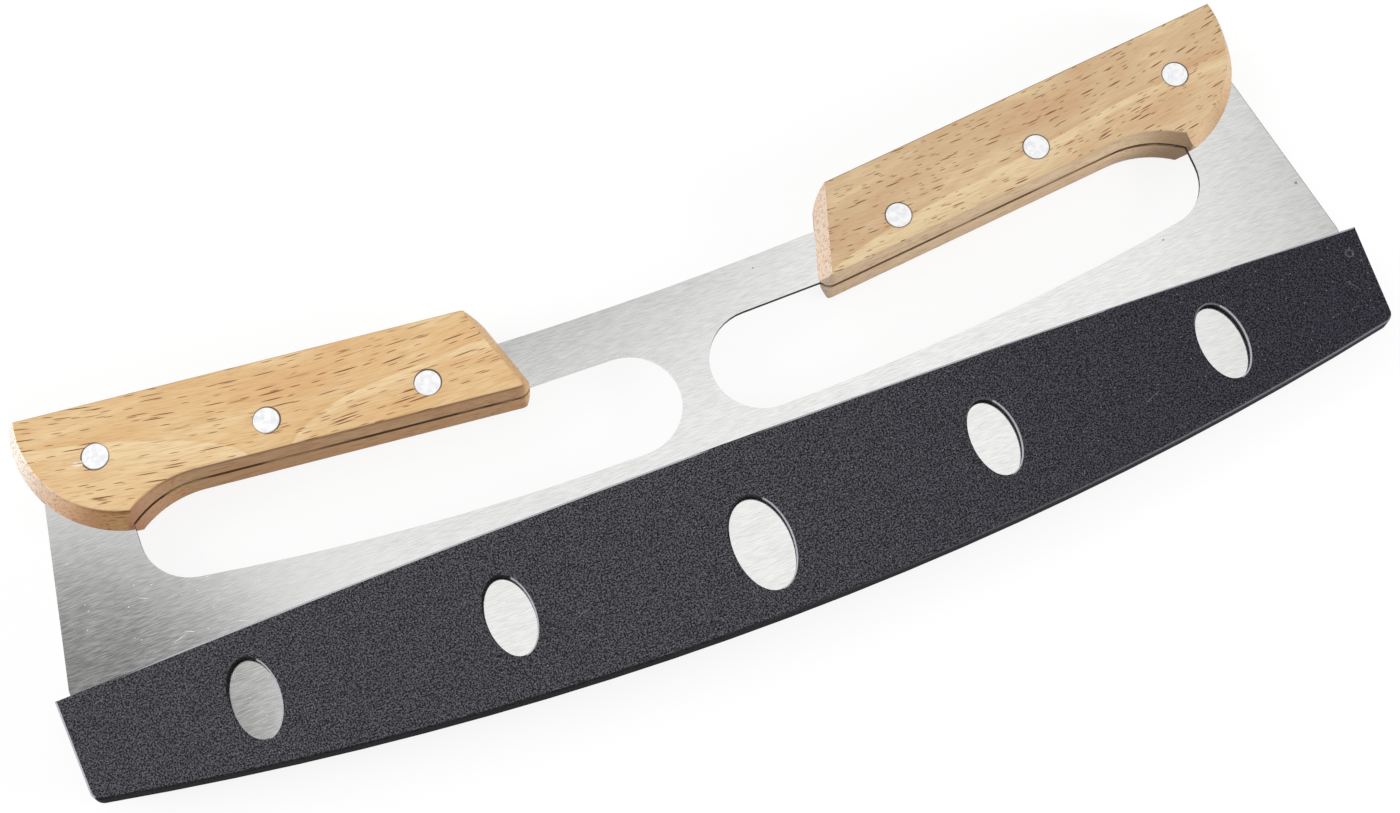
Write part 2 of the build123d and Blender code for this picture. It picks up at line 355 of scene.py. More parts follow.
def painted_wall_light_and_shade(tree, coloured, coordinates, facing, below, streaks, wall_light_and_shade):
    """Painted light and shade on the lower walls, which face down: darker on the left grip, lighter on
    the right, and painted shade just under the face's edge.

    The wall holds the painted colour, that colour's share and the share of painted shade under the
    edge.
    """
    painted_wall_colour, wall_share, rim_shade_share = wall_light_and_shade
    # Painted light and shade on walls that face down
    painted_wall = add(
        tree,
        "ShaderNodeMapRange",
        {
            "Value": facing.outputs["Z"],
            "From Min": 0.7,
            "From Max": 0.3,
            "To Min": 0.0,
            "To Max": wall_share,
        },
        interpolation_type="SMOOTHSTEP",
    )
    painted_wall = add(tree, "ShaderNodeMath", {0: painted_wall, 1: below}, operation="MULTIPLY")
    coloured = add(
        tree,
        "ShaderNodeMix",
        {"Factor": painted_wall, "A": coloured, "B": linear(painted_wall_colour)},
        data_type="RGBA",
    )
    lined = add(tree, "ShaderNodeMath", {0: streaks, 1: painted_wall}, operation="MULTIPLY")
    coloured = add(
        tree,
        "ShaderNodeMix",
        {"Factor": lined, "A": coloured, "B": linear("#6f4420")},
        data_type="RGBA",
    )
    # Painted shade just under the face's edge
    rim_shade = add(
        tree,
        "ShaderNodeMapRange",
        {
            "Value": coordinates.outputs["Z"],
            "From Min": scale_front - 2.2,
            "From Max": scale_front - 0.7,
            "To Min": 0.0,
            "To Max": rim_shade_share,
        },
        interpolation_type="SMOOTHSTEP",
    )
    rim_shade = add(tree, "ShaderNodeMath", {0: rim_shade, 1: painted_wall}, operation="MULTIPLY")
    coloured = add(
        tree,
        "ShaderNodeMix",
        {"Factor": rim_shade, "A": coloured, "B": linear("#6e4512")},
        data_type="RGBA",
    )
    return coloured


def darker_seams(tree, coloured, coordinates, facing, below, crowds, seam_darkness):
    """Darker seams between the wood and the tang, patch by patch."""
    seam = add(tree, "ShaderNodeMath", {0: coordinates.outputs["Z"]}, operation="ABSOLUTE")
    seam = add(
        tree,
        "ShaderNodeMapRange",
        {
            "Value": seam,
            "From Min": tang_front,
            "From Max": tang_front + 0.35,
            "To Min": seam_darkness,
            "To Max": 0.0,
        },
        interpolation_type="SMOOTHSTEP",
    )
    broken = add(
        tree,
        "ShaderNodeMapRange",
        {"Value": crowds, "From Min": 0.35, "From Max": 0.55, "To Min": 0.25, "To Max": 1.0},
    )
    seam = add(tree, "ShaderNodeMath", {0: seam, 1: broken}, operation="MULTIPLY")
    # The scales' flat faces show only where the tang lies back between them
    flat = add(tree, "ShaderNodeMath", {0: facing.outputs["Z"]}, operation="ABSOLUTE")
    flat = add(
        tree,
        "ShaderNodeMapRange",
        {"Value": flat, "From Min": 0.9, "From Max": 0.98},
    )
    darkened = add(tree, "ShaderNodeMath", {0: below, 1: flat}, operation="MAXIMUM")
    seam = add(tree, "ShaderNodeMath", {0: seam, 1: darkened}, operation="MULTIPLY")
    coloured = add(
        tree,
        "ShaderNodeMix",
        {"Factor": seam, "A": coloured, "B": linear("#54301a")},
        data_type="RGBA",
    )
    return coloured


def shaded_top_edge(tree, coloured, coordinates, facing, top_edge_shade):
    """Painted shade along the face's upper edge, where its round turns upwards, by the given share."""
    above_edge = add(
        tree,
        "ShaderNodeMapRange",
        {
            "Value": facing.outputs["Y"],
            "From Min": 0.2,
            "From Max": 0.6,
            "To Min": 0.0,
            "To Max": top_edge_shade,
        },
    )
    high = add(
        tree,
        "ShaderNodeMapRange",
        {
            "Value": coordinates.outputs["Z"],
            "From Min": scale_front - 0.7,
            "From Max": scale_front - 0.4,
        },
    )
    top_edge_shade_mask = add(tree, "ShaderNodeMath", {0: above_edge, 1: high}, operation="MULTIPLY")
    # Painted shade on the upper edge's round
    coloured = add(
        tree,
        "ShaderNodeMix",
        {"Factor": top_edge_shade_mask, "A": coloured, "B": linear("#5f3d1e")},
        data_type="RGBA",
    )
    return coloured


def end_grain_light_and_shade(tree, coloured, place, coordinates, normal, side, end_grain_and_shade):
    """End grain on the slanting ends, with painted light and shade: lighter at the top and darker low
    down, where the ends turn downwards.

    It holds a colour for the top, painted lighter, one for the middle, one for low down, painted
    darker, and one for the inner end.
    """
    lit_top, middle, low, inner_end = (linear(code) for code in end_grain_and_shade)
    across = add(
        tree,
        "ShaderNodeVectorMath",
        {0: normal, 1: (cos(radians(grip_tilt)), side * sin(radians(grip_tilt)), 0)},
        operation="DOT_PRODUCT",
    )
    across = add(tree, "ShaderNodeMath", {0: across}, operation="ABSOLUTE")
    is_end = add(
        tree,
        "ShaderNodeMapRange",
        {"Value": across, "From Min": 0.22, "From Max": 0.6, "To Min": 0.0, "To Max": 0.85},
        interpolation_type="SMOOTHSTEP",
    )
    # Painted light at the top of the ends and painted shade low down
    lower = add(
        tree,
        "ShaderNodeMapRange",
        {"Value": coordinates.outputs["Y"], "From Min": 8.0, "From Max": -9.0},
    )
    lowest = add(
        tree,
        "ShaderNodeMapRange",
        {"Value": coordinates.outputs["Y"], "From Min": -9.0, "From Max": -16.5},
    )
    ends = add(
        tree,
        "ShaderNodeMix",
        {"Factor": lower, "A": lit_top, "B": middle},
        data_type="RGBA",
    )
    ends = add(
        tree,
        "ShaderNodeMix",
        {"Factor": lowest, "A": ends, "B": low},
        data_type="RGBA",
    )
    inner = add(
        tree,
        "ShaderNodeMapRange",
        {"Value": coordinates.outputs["X"], "From Min": -10 * side, "From Max": -30 * side},
    )
    ends = add(
        tree,
        "ShaderNodeMix",
        {"Factor": inner, "A": ends, "B": inner_end},
        data_type="RGBA",
    )
    grains = add(
        tree,
        "ShaderNodeMapping",
        {"Vector": place, "Scale": (4.0, 0.7, 0.7)},
        vector_type="TEXTURE",
    )
    grains = add(tree, "ShaderNodeTexNoise", {"Vector": grains, "Scale": 1.0, "Detail": 3.0})
    speckle = add(
        tree,
        "ShaderNodeMapRange",
        {"Value": grains, "From Min": 0.5, "From Max": 0.62, "To Min": 0.0, "To Max": 0.6},
    )
    ends = add(
        tree,
        "ShaderNodeMix",
        {"Factor": speckle, "A": ends, "B": linear("#a56f48")},
        data_type="RGBA",
    )
    coloured = add(
        tree,
        "ShaderNodeMix",
        {"Factor": is_end, "A": coloured, "B": ends},
        data_type="RGBA",
    )
    return coloured


def rivet_seats(tree, coloured, place, side):
    """Each rivet's seat shows as a thin dark line, wider where the hole was reamed off its centre."""
    for (out, up), (off, rise) in zip(rivet_places, rivet_offsets[side]):
        away = add(
            tree,
            "ShaderNodeVectorMath",
            {0: place, 1: (side * out + off, up + rise, 0)},
            operation="SUBTRACT",
        )
        away = add(tree, "ShaderNodeVectorMath", {0: away, 1: (1, 1, 0)}, operation="MULTIPLY")
        away = add(tree, "ShaderNodeVectorMath", {0: away}, operation="LENGTH")
        gap = add(
            tree,
            "ShaderNodeMapRange",
            {
                "Value": away,
                "From Min": rivet_head_radius + 0.12,
                "From Max": rivet_head_radius + 0.36,
                "To Min": 0.9,
                "To Max": 0.0,
            },
            interpolation_type="SMOOTHSTEP",
        )
        coloured = add(
            tree,
            "ShaderNodeMix",
            {"Factor": gap, "A": coloured, "B": linear("#4b3a30")},
            data_type="RGBA",
        )
    return coloured


def broken_chips(tree, coloured, place, fibres, side, chips):
    """Where wood broke out beside a rivet, pale splinters show."""
    for out, up in chips:
        away = add(
            tree,
            "ShaderNodeVectorMath",
            {0: place, 1: (side * out, up, scale_front)},
            operation="SUBTRACT",
        )
        away = add(tree, "ShaderNodeVectorMath", {0: away, 1: (0.62, 1.0, 0.6)}, operation="MULTIPLY")
        away = add(tree, "ShaderNodeVectorMath", {0: away}, operation="LENGTH")
        chip = add(
            tree,
            "ShaderNodeMapRange",
            {"Value": away, "From Min": 0.7, "From Max": 1.0, "To Min": 0.9, "To Max": 0.0},
        )
        coloured = add(
            tree,
            "ShaderNodeMix",
            {"Factor": chip, "A": coloured, "B": linear("#f0dfc4")},
            data_type="RGBA",
        )
        splinter = add(
            tree,
            "ShaderNodeMapRange",
            {"Value": fibres, "From Min": 0.54, "From Max": 0.6},
        )
        splinter = add(tree, "ShaderNodeMath", {0: splinter, 1: chip}, operation="MULTIPLY")
        coloured = add(
            tree,
            "ShaderNodeMix",
            {"Factor": splinter, "A": coloured, "B": linear("#8a5a34")},
            data_type="RGBA",
        )
    return coloured


def oiled_rubberwood(
    name, side, tongue, pale, golden, blush, end_grain_and_shade, wall_light_and_shade, seam_darkness, top_edge_shade, chips, dash_length
):
    """Rubberwood, sawn flat, sanded and oiled, in the places and colours of one grip.

    The side is -1 for the left grip and 1 for the right. The ground is pale, golden and blush, and the
    chips are places outwards along the grip and up it, in millimetres.
    """
    material, tree, surface = new_material(name, ior=1.45)
    middle_rivet = (side * grip_reach, edge_height + grip_height, plate_height)
    place = places_in_millimetres(tree, middle_rivet, side * grip_tilt)

    # Slow waves of the grain, some 60 mm long and up to 2 mm high
    waves = add(
        tree,
        "ShaderNodeMapping",
        {"Vector": place, "Scale": (60, 12, 25)},
        vector_type="TEXTURE",
    )
    waves = add(tree, "ShaderNodeTexNoise", {"Vector": waves, "Scale": 1.0, "Detail": 1.0})
    waves = add(
        tree,
        "ShaderNodeVectorMath",
        {0: waves.outputs["Color"], 1: (-0.5, -0.5, -0.5)},
        operation="ADD",
    )
    waved = add(
        tree,
        "ShaderNodeVectorMath",
        {0: waves, 1: (0, 3.6, 2.5), 2: place},
        operation="MULTIPLY_ADD",
    )

    ground = ring_colours(tree, waved, tongue, pale, golden, blush)
    ground = patch_colours(tree, ground, waved, pale, blush)

    # The fibres lie in a shallow arch over the middle rivet: they drop by this times x squared
    arch_drop = 0.0011
    coordinates = add(tree, "ShaderNodeSeparateXYZ", {"Vector": place})
    squared = add(
        tree,
        "ShaderNodeMath",
        {0: coordinates.outputs["X"], 1: coordinates.outputs["X"]},
        operation="MULTIPLY",
    )
    arch = add(tree, "ShaderNodeCombineXYZ", {"Y": squared})
    fibre_place = add(
        tree,
        "ShaderNodeVectorMath",
        {0: arch, 1: (0, -arch_drop, 0), 2: waved},
        operation="MULTIPLY_ADD",
    )

    # Fibres: streaks 6 mm long. Real ones are 0.03 mm wide, drawn here at 0.28 mm so that they show
    fibres = add(
        tree,
        "ShaderNodeMapping",
        {"Vector": fibre_place, "Scale": (6, 0.28, 0.28)},
        vector_type="TEXTURE",
    )
    fibres = add(tree, "ShaderNodeTexNoise", {"Vector": fibres, "Scale": 1.0, "Detail": 2.0})
    streaks = add(
        tree,
        "ShaderNodeMapRange",
        {"Value": fibres, "From Min": 0.42, "From Max": 0.7, "To Min": 0.0, "To Max": 0.42},
        interpolation_type="SMOOTHSTEP",
    )
    streaked = add(
        tree,
        "ShaderNodeMix",
        {"Factor": streaks, "A": ground, "B": linear("#b98a58")},
        data_type="RGBA",
    )

    # Vessels crowd together along the rings
    crowds = add(
        tree,
        "ShaderNodeMapping",
        {"Vector": waved, "Location": (7, 2, 1), "Scale": (16, 4, 5)},
        vector_type="TEXTURE",
    )
    crowds = add(tree, "ShaderNodeTexNoise", {"Vector": crowds, "Scale": 1.0, "Detail": 1.0})
    coloured, dashes = vessel_dashes(tree, streaked, fibre_place, crowds, dash_length)

    # Which way the surface looks, and how far down
    normal = add(tree, "ShaderNodeNewGeometry").outputs["Normal"]
    facing = add(tree, "ShaderNodeSeparateXYZ", {"Vector": normal})
    below = add(
        tree,
        "ShaderNodeMapRange",
        {"Value": facing.outputs["Y"], "From Min": -0.1, "From Max": -0.5},
        interpolation_type="SMOOTHSTEP",
    )
    # Painted light and shade on the walls, the upper edge and the ends, and darker seams
    coloured = painted_wall_light_and_shade(tree, coloured, coordinates, facing, below, streaks, wall_light_and_shade)
    coloured = darker_seams(tree, coloured, coordinates, facing, below, crowds, seam_darkness)
    coloured = shaded_top_edge(tree, coloured, coordinates, facing, top_edge_shade)
    coloured = end_grain_light_and_shade(tree, coloured, place, coordinates, normal, side, end_grain_and_shade)
    coloured = rivet_seats(tree, coloured, place, side)
    coloured = broken_chips(tree, coloured, place, fibres, side, chips)
    plug(tree, coloured, surface["Base Color"])

    # Fibres stand up and open vessels lie deeper
    open_vessels = add(tree, "ShaderNodeMath", {0: dashes[0], 1: dashes[1]}, operation="MAXIMUM")
    relief = add(
        tree,
        "ShaderNodeMath",
        {0: fibres, 1: 0.3, 2: -0.5},
        operation="MULTIPLY_ADD",
    )
    relief = add(tree, "ShaderNodeMath", {0: relief, 1: open_vessels}, operation="SUBTRACT")
    bump = add(
        tree,
        "ShaderNodeBump",
        {"Height": relief, "Strength": 0.3, "Distance": 0.1 * MILLIMETRE},
    )
    plug(tree, bump, surface["Normal"])
    shine = add(
        tree,
        "ShaderNodeMapRange",
        {"Value": fibres, "From Min": 0.3, "From Max": 0.7, "To Min": 0.45, "To Max": 0.6},
    )
    plug(tree, shine, surface["Roughness"])
    return material


def shaded_right_edge(tree, sheet, coordinates):
    """The right side was sheared; painted shade darkens its rounded edge, where it turns towards the
    dimmer right.
    """
    rounded = add(tree, "ShaderNodeBevel", {"Radius": 0.35 * MILLIMETRE}, samples=6)
    right_side = add(
        tree,
        "ShaderNodeMapRange",
        {"Value": coordinates.outputs["X"], "From Min": 125.0, "From Max": 145.0},
    )
    # Painted shade where the rounded edge turns right
    right_edge_shade = add(
        tree,
        "ShaderNodeMapRange",
        {
            "Value": add(tree, "ShaderNodeSeparateXYZ", {"Vector": rounded}).outputs["X"],
            "From Min": 0.05,
            "From Max": 0.3,
            "To Min": 0.0,
            "To Max": 0.8,
        },
    )
    right_edge_shade = add(tree, "ShaderNodeMath", {0: right_edge_shade, 1: right_side}, operation="MULTIPLY")
    sheet = add(
        tree,
        "ShaderNodeMix",
        {"Factor": right_edge_shade, "A": sheet, "B": linear("#4e4b48")},
        data_type="RGBA",
    )
    return sheet


def cut_edges(tree, sheet, coordinates):
    """The sheet's cut edges, dull from the die. Gives the colours, and where the cut edges are."""
    normal = add(tree, "ShaderNodeNewGeometry").outputs["Normal"]
    upright = add(tree, "ShaderNodeSeparateXYZ", {"Vector": normal}).outputs["Z"]
    upright = add(tree, "ShaderNodeMath", {0: upright}, operation="ABSOLUTE")
    cut = add(
        tree,
        "ShaderNodeMapRange",
        {"Value": upright, "From Min": 0.2, "From Max": 0.7, "To Min": 1.0, "To Max": 0.0},
        interpolation_type="SMOOTHSTEP",
    )
    # The edges are bright along the left hand hole, and darker towards both ends of the blade
    bright_middle = -68.0
    darker_edge_share = add(
        tree,
        "ShaderNodeMath",
        {0: coordinates.outputs["X"], 1: bright_middle},
        operation="SUBTRACT",
    )
    darker_edge_share = add(tree, "ShaderNodeMath", {0: darker_edge_share}, operation="ABSOLUTE")
    darker_edge_share = add(
        tree,
        "ShaderNodeMapRange",
        {"Value": darker_edge_share, "From Min": 72.0, "From Max": 84.0},
    )
    # The left tang's edges are darker too, between the scales
    outwards = add(
        tree,
        "ShaderNodeMapRange",
        {"Value": coordinates.outputs["X"], "From Min": -48.0, "From Max": -54.0},
    )
    upwards = add(
        tree,
        "ShaderNodeMapRange",
        {
            "Value": coordinates.outputs["Y"],
            "From Min": edge_line + 72.0,
            "From Max": edge_line + 76.0,
        },
    )
    tang = add(tree, "ShaderNodeMath", {0: outwards, 1: upwards}, operation="MULTIPLY")
    darker_edge_share = add(tree, "ShaderNodeMath", {0: darker_edge_share, 1: tang}, operation="MAXIMUM")
    sheared = add(
        tree,
        "ShaderNodeMix",
        {"Factor": darker_edge_share, "A": linear("#f2f2f0"), "B": linear("#4c443d")},
        data_type="RGBA",
    )
    sheet = add(
        tree,
        "ShaderNodeMix",
        {"Factor": cut, "A": sheet, "B": sheared},
        data_type="RGBA",
    )
    return sheet, cut


def brushed_steel():
    """Stainless steel sheet, brushed along its length: a soft even shine with fine short streaks.

    Use has left a few hair scratches and specks, which catch light from all round and show as white
    only where the sheet mirrors something dark.
    """
    material, tree, surface = new_material("brushed_stainless_steel", metallic=1.0)
    place = places_in_millimetres(tree)
    # Brush lines 3.2 mm long. Real ones are 0.03 mm wide, drawn here at 0.24 mm so that they show
    lines = add(
        tree,
        "ShaderNodeMapping",
        {"Vector": place, "Scale": (3.2, 0.24, 3)},
        vector_type="TEXTURE",
    )
    lines = add(tree, "ShaderNodeTexNoise", {"Vector": lines, "Scale": 1.0, "Detail": 3.0})
    clouds = add(
        tree,
        "ShaderNodeMapping",
        {"Vector": place, "Scale": (9, 4, 5)},
        vector_type="TEXTURE",
    )
    clouds = add(tree, "ShaderNodeTexNoise", {"Vector": clouds, "Scale": 1.0, "Detail": 4.0})
    tone = add(tree, "ShaderNodeMix", {"Factor": 0.16, "A": lines, "B": clouds}, data_type="FLOAT")
    shade = add(
        tree,
        "ShaderNodeMapRange",
        {"Value": tone, "From Min": 0.36, "From Max": 0.62},
    )
    sheet = add(
        tree,
        "ShaderNodeMix",
        {"Factor": shade, "A": linear("#dadad9"), "B": linear("#f2f2f0")},
        data_type="RGBA",
    )

    # Hair scratches 5 mm long and specks 0.4 mm wide, drawn twice as wide as real ones
    kinds = (
        (17, (18, 0.7, 2), 0.12, 0.988),
        (-23, (13, 0.6, 2), 0.13, 0.991),
        (12, (1.3, 0.8, 2), 0.17, 0.985),
    )
    marks = rare_marks(tree, place, kinds, core=0.5)
    scratched = add(tree, "ShaderNodeMath", {0: marks[0], 1: marks[1]}, operation="MAXIMUM")
    scratched = add(tree, "ShaderNodeMath", {0: scratched, 1: marks[2]}, operation="MAXIMUM")
    sheet = add(
        tree,
        "ShaderNodeMix",
        {"Factor": scratched, "A": sheet, "B": linear("#fbfbfb")},
        data_type="RGBA",
    )

    # Three small pits: x and y of each, and its radius
    for along, height, radius in ((25.9, 33.5, 0.3), (173.3, 3.9, 0.5), (132.5, 1.5, 0.35)):
        away = add(
            tree,
            "ShaderNodeVectorMath",
            {0: place, 1: (along, height, blade_front)},
            operation="DISTANCE",
        )
        pit = add(
            tree,
            "ShaderNodeMapRange",
            {
                "Value": away,
                "From Min": radius * 0.5,
                "From Max": radius,
                "To Min": 0.75,
                "To Max": 0.0,
            },
        )
        sheet = add(
            tree,
            "ShaderNodeMix",
            {"Factor": pit, "A": sheet, "B": linear("#6b6862")},
            data_type="RGBA",
        )

    coordinates = add(tree, "ShaderNodeSeparateXYZ", {"Vector": place})
    sheet = shaded_right_edge(tree, sheet, coordinates)
    sheet, cut = cut_edges(tree, sheet, coordinates)
    plug(tree, sheet, surface["Base Color"])
    dullness = add(
        tree,
        "ShaderNodeMapRange",
        {"Value": tone, "From Min": 0.35, "From Max": 0.65, "To Min": 0.1, "To Max": 0.15},
    )
    dullness = add(
        tree,
        "ShaderNodeMath",
        {0: scratched, 1: 0.55, 2: dullness},
        operation="MULTIPLY_ADD",
    )
    dullness = add(tree, "ShaderNodeMath", {0: cut, 1: 0.65, 2: dullness}, operation="MULTIPLY_ADD")
    plug(tree, dullness, surface["Roughness"])
    bump = add(
        tree,
        "ShaderNodeBump",
        {"Height": lines, "Strength": 0.05, "Distance": 0.004 * MILLIMETRE},
    )
    plug(tree, bump, surface["Normal"])
    return material


def ground_aluminium():
    """Soft aluminium, set and then ground flush with the wood: pale, satin and slightly mottled.

    Its skin of oxide and fine scratches scatters most of the light, as paint does.
    """
    material, tree, surface = new_material("ground_aluminium", metallic=0.35)
    place = places_in_millimetres(tree)
    mottle = add(tree, "ShaderNodeTexNoise", {"Vector": place, "Scale": 0.7, "Detail": 3.0})
    blotches = add(
        tree,
        "ShaderNodeMapRange",
        {"Value": mottle, "From Min": 0.35, "From Max": 0.65},
        interpolation_type="SMOOTHSTEP",
    )
    colour = add(
        tree,
        "ShaderNodeMix",
        {"Factor": blotches, "A": linear("#ecedf1"), "B": linear("#fbfbfa")},
        data_type="RGBA",
    )
    plug(tree, colour, surface["Base Color"])
    # Grinding marks 5 mm long, drawn at 0.2 mm so that they show
    grinding = add(
        tree,
        "ShaderNodeMapping",
        {"Vector": place, "Rotation": (0, 0, radians(35)), "Scale": (5, 0.2, 1)},
        vector_type="TEXTURE",
    )
    grinding = add(tree, "ShaderNodeTexNoise", {"Vector": grinding, "Scale": 1.0, "Detail": 2.0})
    satin = add(
        tree,
        "ShaderNodeMapRange",
        {"Value": grinding, "From Min": 0.35, "From Max": 0.65, "To Min": 0.64, "To Max": 0.76},
    )
    plug(tree, satin, surface["Roughness"])
    bump = add(
        tree,
        "ShaderNodeBump",
        {"Height": grinding, "Strength": 0.25, "Distance": 0.006 * MILLIMETRE},
    )
    plug(tree, bump, surface["Normal"])
    return material


def ejector_ring(tree, colour, place):
    """The mark of an ejector pin, a faint ring 2 mm across near the right end."""
    pin = add(
        tree,
        "ShaderNodeVectorMath",
        {0: place, 1: (177.0, edge_line + 36.0, guard_front)},
        operation="DISTANCE",
    )
    pin = add(tree, "ShaderNodeMath", {0: pin, 1: 1.0}, operation="SUBTRACT")
    pin = add(tree, "ShaderNodeMath", {0: pin}, operation="ABSOLUTE")
    ring = add(
        tree,
        "ShaderNodeMapRange",
        {"Value": pin, "From Min": 0.1, "From Max": 0.35, "To Min": 0.2, "To Max": 0.0},
    )
    colour = add(
        tree,
        "ShaderNodeMix",
        {"Factor": ring, "A": colour, "B": linear("#8d8d93")},
        data_type="RGBA",
    )
    return colour


def corner_light_and_shade(tree, colour, facing, upright, painted_light_ramp):
    """Painted shade that makes the walls blacker than the faces, and painted highlights that make some
    corners pale.

    The highlights are on the left end, the windows' right sides and the right half of the foot.
    """
    corner = add(
        tree,
        "ShaderNodeMapRange",
        {"Value": upright, "From Min": 0.999, "From Max": 0.98, "To Min": 0.0, "To Max": 0.9},
    )
    leftwards = add(
        tree,
        "ShaderNodeMapRange",
        {"Value": facing.outputs["X"], "From Min": -0.05, "From Max": -0.12},
    )
    # Not where a corner looks down more than left
    slant = add(
        tree,
        "ShaderNodeMath",
        {0: facing.outputs["X"], 1: facing.outputs["Y"]},
        operation="SUBTRACT",
    )
    slant = add(tree, "ShaderNodeMapRange", {"Value": slant, "From Min": 0.0, "From Max": -0.06})
    leftwards = add(tree, "ShaderNodeMath", {0: leftwards, 1: slant}, operation="MULTIPLY")
    downwards = add(
        tree,
        "ShaderNodeMapRange",
        {
            "Value": facing.outputs["Y"],
            "From Min": -0.2,
            "From Max": -0.4,
            "To Min": 0.0,
            "To Max": 0.35,
        },
    )
    downwards = add(tree, "ShaderNodeMath", {0: downwards, 1: painted_light_ramp}, operation="MULTIPLY")
    corner_highlight = add(tree, "ShaderNodeMath", {0: leftwards, 1: downwards}, operation="MAXIMUM")
    corner_highlight = add(tree, "ShaderNodeMath", {0: corner_highlight, 1: corner}, operation="MULTIPLY")
    painted_wall = add(
        tree,
        "ShaderNodeMapRange",
        {"Value": upright, "From Min": 0.05, "From Max": 0.25, "To Min": 0.9, "To Max": 0.0},
    )
    not_wall = add(tree, "ShaderNodeMath", {0: 1.0, 1: painted_wall}, operation="SUBTRACT")
    corner_highlight = add(tree, "ShaderNodeMath", {0: corner_highlight, 1: not_wall}, operation="MULTIPLY")
    # Painted shade: the left half of the foot's corner is as black as the walls
    foot_shade = add(
        tree,
        "ShaderNodeMapRange",
        {
            "Value": facing.outputs["Y"],
            "From Min": -0.02,
            "From Max": -0.15,
            "To Min": 0.0,
            "To Max": 0.85,
        },
    )
    painted_left_ramp = add(tree, "ShaderNodeMath", {0: 1.0, 1: painted_light_ramp}, operation="SUBTRACT")
    foot_shade = add(tree, "ShaderNodeMath", {0: foot_shade, 1: painted_left_ramp}, operation="MULTIPLY")
    foot_shade = add(tree, "ShaderNodeMath", {0: foot_shade, 1: corner}, operation="MULTIPLY")
    guard_wall_shade = add(tree, "ShaderNodeMath", {0: painted_wall, 1: foot_shade}, operation="MAXIMUM")
    # Painted shade on the walls and on the left half of the foot
    colour = add(
        tree,
        "ShaderNodeMix",
        {"Factor": guard_wall_shade, "A": colour, "B": linear("#050507")},
        data_type="RGBA",
    )
    # Painted highlights on the corners
    colour = add(
        tree,
        "ShaderNodeMix",
        {"Factor": corner_highlight, "A": colour, "B": linear("#b2b1b8")},
        data_type="RGBA",
    )
    return colour


def moulded_polypropylene():
    """Black polypropylene from a spark-grained mould: a dull charcoal, finely speckled.

    Handling leaves pale specks and a few short hair scratches.
    """
    material, tree, surface = new_material("moulded_polypropylene", ior=1.49)
    surface["Specular IOR Level"].default_value = 0.25
    place = places_in_millimetres(tree)
    # The grain is 0.1 mm in the real moulding, drawn coarser so that it shows
    grain_size = 0.42
    grain = add(
        tree,
        "ShaderNodeTexNoise",
        {"Vector": place, "Scale": 1 / grain_size, "Detail": 1.0, "Roughness": 0.6},
    )
    shade = add(
        tree,
        "ShaderNodeMapRange",
        {"Value": grain, "From Min": 0.4, "From Max": 0.68},
    )
    # Painted light: the flecks are lighter towards the left end, nearer the left lamp, and darker
    # towards the right
    painted_light_ramp = add(
        tree,
        "ShaderNodeMapRange",
        {
            "Value": add(tree, "ShaderNodeSeparateXYZ", {"Vector": place}),
            "From Min": -40.0,
            "From Max": 190.0,
        },
        interpolation_type="SMOOTHSTEP",
    )
    flecks = add(
        tree,
        "ShaderNodeMix",
        {"Factor": painted_light_ramp, "A": linear("#5f5e65"), "B": linear("#403f4a")},
        data_type="RGBA",
    )
    charcoal = add(
        tree,
        "ShaderNodeMix",
        {"Factor": shade, "A": linear("#030306"), "B": flecks},
        data_type="RGBA",
    )
    # Specks from handling, and hair scratches that lean two ways
    kinds = (
        (0, (1.4, 1.4, 1.4), 0.13, 0.94),
        (-52, (26, 1.1, 4), 0.11, 0.985),
        (20, (30, 1.1, 4), 0.11, 0.985),
    )
    specks, falling, rising = rare_marks(tree, place, kinds, core=0.4)
    scratched = add(tree, "ShaderNodeMath", {0: falling, 1: rising}, operation="MAXIMUM")
    scratched = add(tree, "ShaderNodeMath", {0: scratched, 1: 0.45}, operation="MULTIPLY")
    worn = add(tree, "ShaderNodeMath", {0: scratched, 1: specks}, operation="MAXIMUM")
    colour = add(
        tree,
        "ShaderNodeMix",
        {"Factor": worn, "A": charcoal, "B": linear("#828288")},
        data_type="RGBA",
    )
    colour = ejector_ring(tree, colour, place)

    # Handling has polished the corners. The walls are duller than the faces
    edge = add(tree, "ShaderNodeBevel", {"Radius": 0.3 * MILLIMETRE}, samples=4)
    normal = add(tree, "ShaderNodeNewGeometry").outputs["Normal"]
    turned = add(tree, "ShaderNodeVectorMath", {0: edge, 1: normal}, operation="DOT_PRODUCT")
    polish = add(
        tree,
        "ShaderNodeMapRange",
        {"Value": turned, "From Min": 0.99, "From Max": 0.9, "To Min": 0.0, "To Max": 0.32},
    )
    facing = add(tree, "ShaderNodeSeparateXYZ", {"Vector": normal})
    upright = add(tree, "ShaderNodeMath", {0: facing.outputs["Z"]}, operation="ABSOLUTE")
    satin = add(
        tree,
        "ShaderNodeMapRange",
        {"Value": upright, "From Min": 0.2, "From Max": 0.8, "To Min": 0.95, "To Max": 0.6},
    )
    satin = add(tree, "ShaderNodeMath", {0: satin, 1: polish}, operation="SUBTRACT")
    # Painted shade on the walls and painted highlights on some corners
    colour = corner_light_and_shade(tree, colour, facing, upright, painted_light_ramp)
    plug(tree, colour, surface["Base Color"])
    plug(tree, satin, surface["Roughness"])
    bump = add(
        tree,
        "ShaderNodeBump",
        {"Height": grain, "Strength": 0.6, "Distance": 0.05 * MILLIMETRE, "Normal": edge},
    )
    plug(tree, bump, surface["Normal"])
    return material


